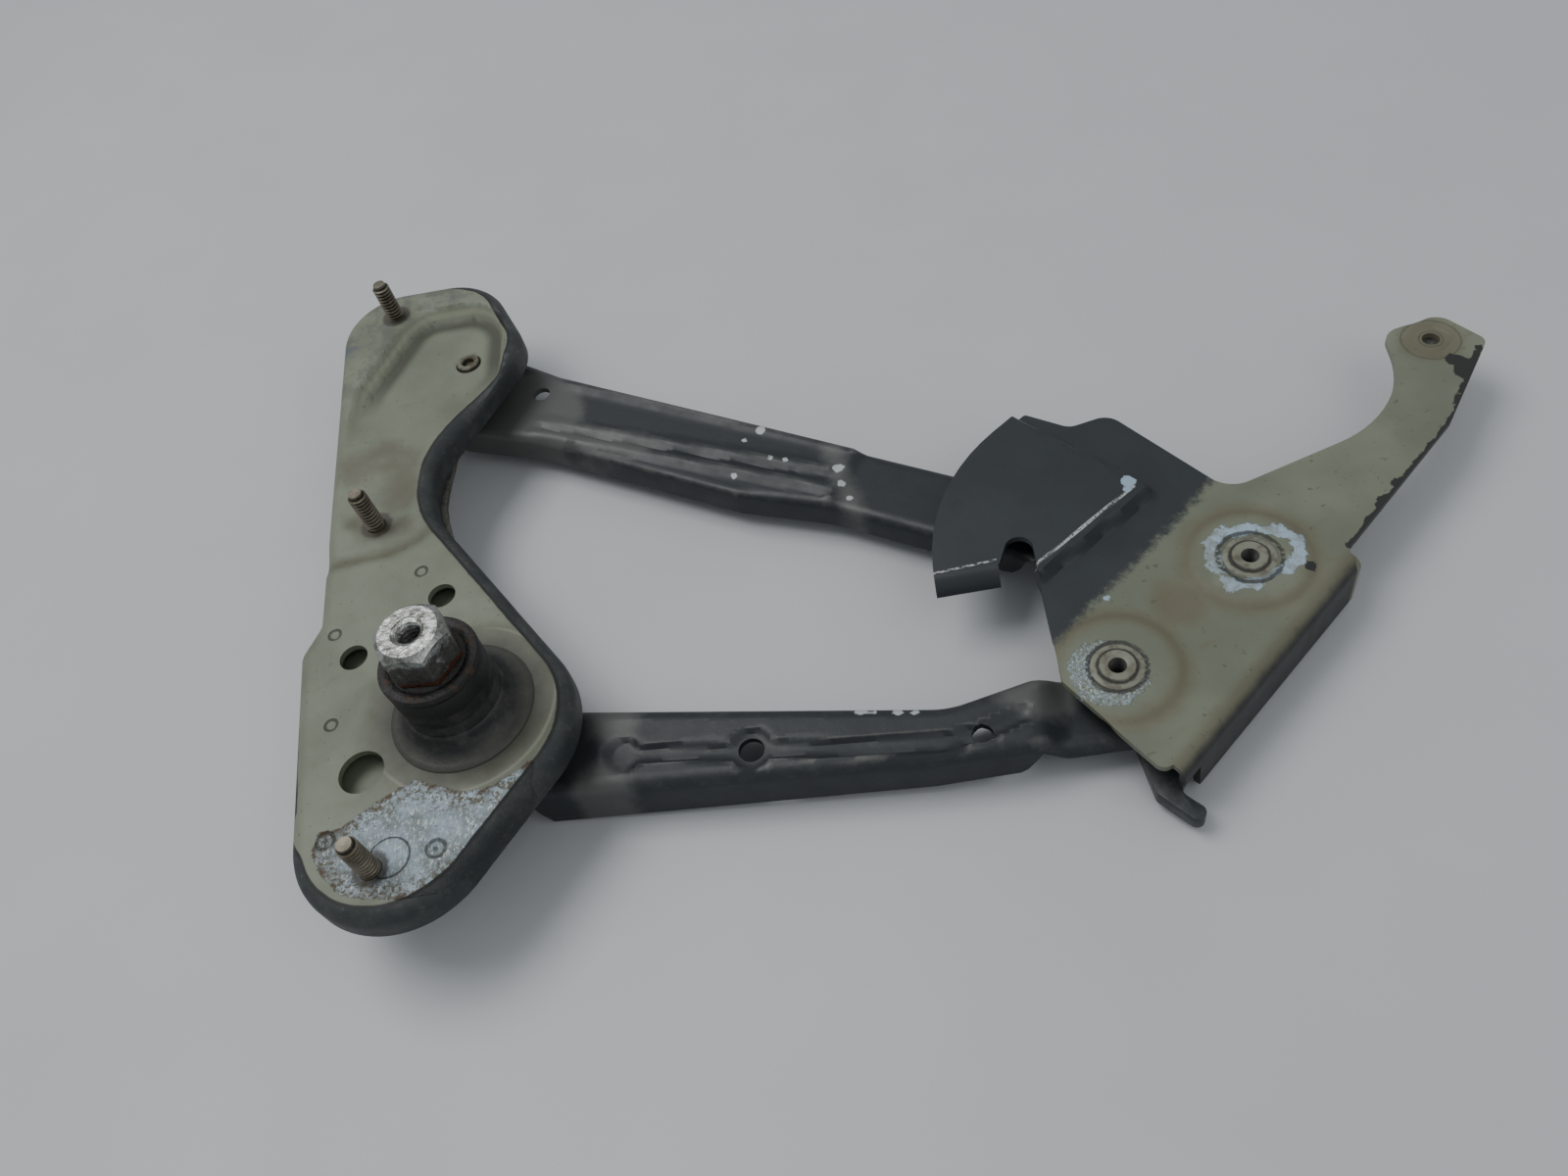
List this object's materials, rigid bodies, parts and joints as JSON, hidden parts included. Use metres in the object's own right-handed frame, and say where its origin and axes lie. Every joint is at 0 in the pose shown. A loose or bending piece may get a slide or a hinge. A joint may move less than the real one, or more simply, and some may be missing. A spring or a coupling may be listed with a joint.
{
  "type": "control arm",
  "caption": "Pressed-steel four-pivot hinge control arm: base pan with studs and a hexagon drive shaft, front and rear channel arms, and a lid bracket.",
  "frame": {"origin": "on the base pan's mounting face, midway between the two lower studs", "axes": "+Z out of the mounting face, along the studs and the four pivot axes; +X from the base towards the lid bracket; +Y towards the rear pivot"},
  "size_m": [0.3714, 0.2488, 0.0732],
  "materials": {
    "sage_primer": "satin",
    "dark_paint": "satin",
    "bare_steel": "dull",
    "stud_steel": "dull",
    "zinc_plate": "satin",
    "bronze": "dull",
    "seal_rubber": "matte"
  },
  "bodies": {
    "base": {"base_pan": "sage_primer", "base_stiffener": "zinc_plate", "closing_plate": "bare_steel", "mounting_stud_1": "stud_steel", "mounting_stud_2": "stud_steel", "mounting_stud_3": "stud_steel", "bearing_housing": "dark_paint", "upper_shaft_bush": "bronze", "lower_shaft_bush": "bronze", "shaft_seal": "seal_rubber", "thrust_washer": "zinc_plate", "rear_pivot_rivet": "bare_steel", "rear_pivot_washer": "zinc_plate"},
    "front_link": {"front_arm": "dark_paint", "front_arm_hub": "dark_paint", "drive_shaft": "zinc_plate", "shaft_retaining_ring": "stud_steel", "front_pin_bush": "bronze"},
    "rear_link": {"rear_arm": "dark_paint", "rear_pivot_bush": "bronze"},
    "lid_carrier": {"lid_bracket": "dark_paint", "lid_insert_1": "zinc_plate", "lid_insert_2": "zinc_plate", "eyelet_nut": "zinc_plate", "pivot_plate": "dark_paint", "front_pivot_pin": "bare_steel", "rear_pivot_pin": "bare_steel", "front_pin_washer": "zinc_plate", "rear_pin_spacer": "zinc_plate"}
  },
  "joints": [
    {"name": "front_arm_swing", "type": "hinge", "parent": "base", "child": "front_link", "pos_m": [0.02825, -0.0142, 0], "axis": [0, 0, 1], "range_deg": [-4, 20]},
    {"name": "rear_arm_swing", "type": "hinge", "parent": "base", "child": "rear_link", "pos_m": [0.01265, 0.1335, 0], "axis": [0, 0, 1], "range_deg": [-2.88, 13.6]},
    {"name": "lid_bracket_swing", "type": "hinge", "parent": "front_link", "child": "lid_carrier", "pos_m": [0.21749, -0.02876, 0], "axis": [0, 0, 1], "range_deg": [-57.7, 11.94]}
  ],
  "couplings": [
    {"joint": "rear_arm_swing", "follows": "front_arm_swing", "ratio": 0.67},
    {"joint": "lid_bracket_swing", "follows": "front_arm_swing", "ratio": -2.86}
  ]
}
